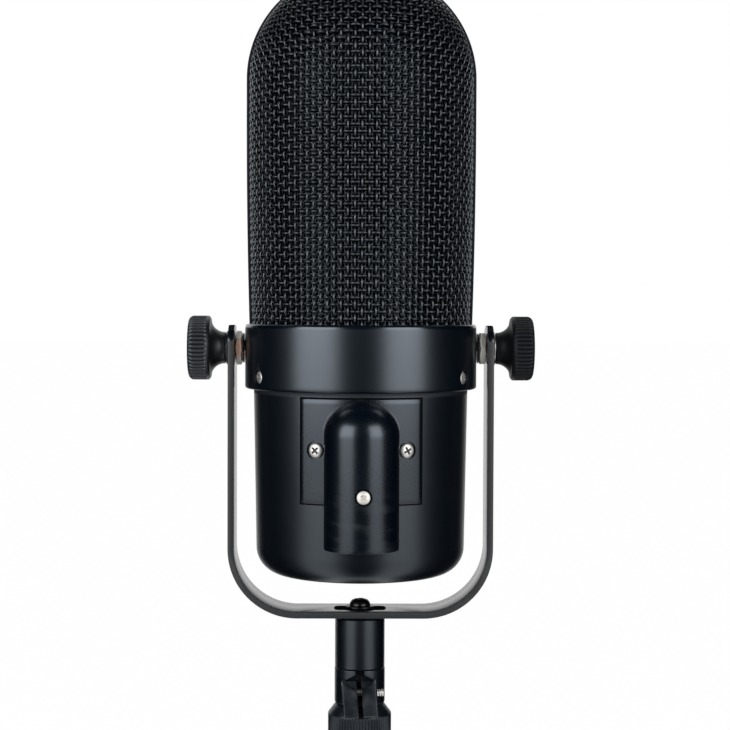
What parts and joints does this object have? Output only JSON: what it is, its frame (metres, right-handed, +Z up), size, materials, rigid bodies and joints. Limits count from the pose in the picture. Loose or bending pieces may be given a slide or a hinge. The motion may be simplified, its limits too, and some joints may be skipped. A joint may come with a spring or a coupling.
{
  "type": "ribbon microphone",
  "caption": "Side-address ribbon microphone with a tall domed wire grille, tilting in a bent yoke on a swivel post and stand nut, with a plug socket on its lower housing.",
  "frame": {"origin": "centre of the stand nut's bottom face, on the stand's axis", "axes": "+Z up along the stand and the microphone, +Y away from the plug socket, +X along the tilt axis"},
  "size_m": [0.1124, 0.0931, 0.2538],
  "materials": {
    "black_paint": "satin black paint",
    "black_mesh": "satin black wire mesh",
    "black_screen": "fine matte black mesh",
    "black_plastic": "matte moulded",
    "black_steel": "black oxide",
    "nickel": "bright nickel plate",
    "steel": "plain",
    "magnet": "ground",
    "ribbon_foil": "pleated foil",
    "brass": "plain",
    "copper": "enamelled copper winding",
    "lead_jacket": "matte"
  },
  "bodies": {
    "stand": {"stand_nut": "black_paint"},
    "clamp": {"clamp_sleeve": "black_paint", "clamp_screw": "nickel", "retaining_clip": "steel"},
    "post": {"swivel_post": "black_paint", "yoke_washer": "black_steel", "yoke_screw": "black_steel"},
    "yoke": {"yoke_strap": "black_paint"},
    "head": {"collar": "black_paint", "lower_housing": "black_paint", "outer_grille": "black_mesh", "inner_screen": "black_screen", "grille_ring": "black_mesh", "chassis_plate": "steel", "chassis_screw_1": "nickel", "chassis_screw_2": "nickel", "chassis_screw_3": "nickel", "motor_frame": "steel", "magnet_left": "magnet", "magnet_right": "magnet", "pole_piece_left": "steel", "pole_piece_right": "steel", "ribbon": "ribbon_foil", "ribbon_clamp_bottom": "brass", "ribbon_clamp_top": "brass", "transformer_core": "steel", "transformer_coil": "copper", "output_lead_left": "lead_jacket", "output_lead_right": "lead_jacket", "connector_cover": "black_paint", "connector_insert": "black_plastic", "contact_pin_1": "nickel", "contact_pin_2": "nickel", "contact_pin_3": "nickel", "cover_screw_left": "nickel", "cover_screw_right": "nickel", "connector_screw": "nickel", "collar_screw_1": "nickel", "collar_screw_2": "nickel", "collar_screw_3": "nickel", "pivot_stud_left": "nickel", "pivot_stud_right": "nickel", "pivot_spacer_left": "black_steel", "pivot_spacer_right": "black_steel", "hex_nut_left": "nickel", "hex_nut_right": "nickel"},
    "washer_left": {"knob_washer_left": "black_steel"},
    "knob_left": {"knob_left": "black_plastic"},
    "washer_right": {"knob_washer_right": "black_steel"},
    "knob_right": {"knob_right": "black_plastic"}
  },
  "joints": [
    {"name": "nut_turn", "type": "hinge", "parent": "stand", "child": "clamp", "pos_m": [0, 0, 0.01525], "axis": [0, 0, 1], "continuous": true},
    {"name": "pan", "type": "hinge", "parent": "clamp", "child": "post", "pos_m": [0, 0, 0.02715], "axis": [0, 0, 1], "continuous": true},
    {"name": "yoke_shift", "type": "slide", "parent": "post", "child": "yoke", "axis": [1, 0, 0], "range_m": [-0.005, 0.005]},
    {"name": "head_tilt", "type": "hinge", "parent": "yoke", "child": "head", "pos_m": [0, 0, 0.131], "axis": [1, 0, 0], "range_deg": [-140, 140]},
    {"name": "washer_left_slide", "type": "slide", "parent": "yoke", "child": "washer_left", "axis": [-1, 0, 0], "range_m": [0, 0.00201]},
    {"name": "knob_left_turn", "type": "hinge", "parent": "washer_left", "child": "knob_left", "pos_m": [-0.0438, 0, 0.131], "axis": [-1, 0, 0], "range_deg": [0, 720]},
    {"name": "washer_right_slide", "type": "slide", "parent": "yoke", "child": "washer_right", "axis": [1, 0, 0], "range_m": [0, 0.00201]},
    {"name": "knob_right_turn", "type": "hinge", "parent": "washer_right", "child": "knob_right", "pos_m": [0.0438, 0, 0.131], "axis": [1, 0, 0], "range_deg": [0, 720]}
  ],
  "couplings": [
    {"joint": "washer_left_slide", "follows": "knob_left_turn", "m_per_rad": 0.00015915},
    {"joint": "washer_right_slide", "follows": "knob_right_turn", "m_per_rad": 0.00015915}
  ]
}
